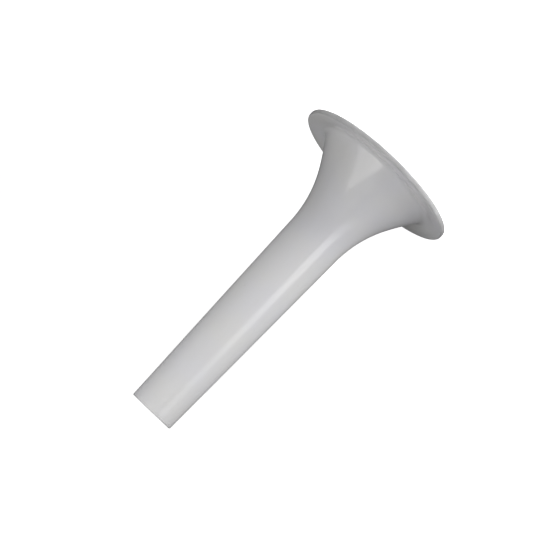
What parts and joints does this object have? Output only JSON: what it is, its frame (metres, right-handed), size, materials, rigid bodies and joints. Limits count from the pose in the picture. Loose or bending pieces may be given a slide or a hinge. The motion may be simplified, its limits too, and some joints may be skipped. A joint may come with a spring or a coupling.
{
  "type": "sausage stuffing tube",
  "caption": "Plastic stuffing tube for a meat grinder: a round flange, a flared horn and a long tapered tube, open right through.",
  "frame": {"origin": "centre of the flange's front face, the face that seats against the grinder", "axes": "+Z along the tube from the flange to the outlet; the part is round about Z, so X and Y are free"},
  "size_m": [0.07, 0.07, 0.127],
  "materials": {
    "moulded_plastic": "glossy light grey-white moulded polypropylene"
  },
  "bodies": {
    "root": {"stuffing_tube": "moulded_plastic"}
  },
  "joints": []
}
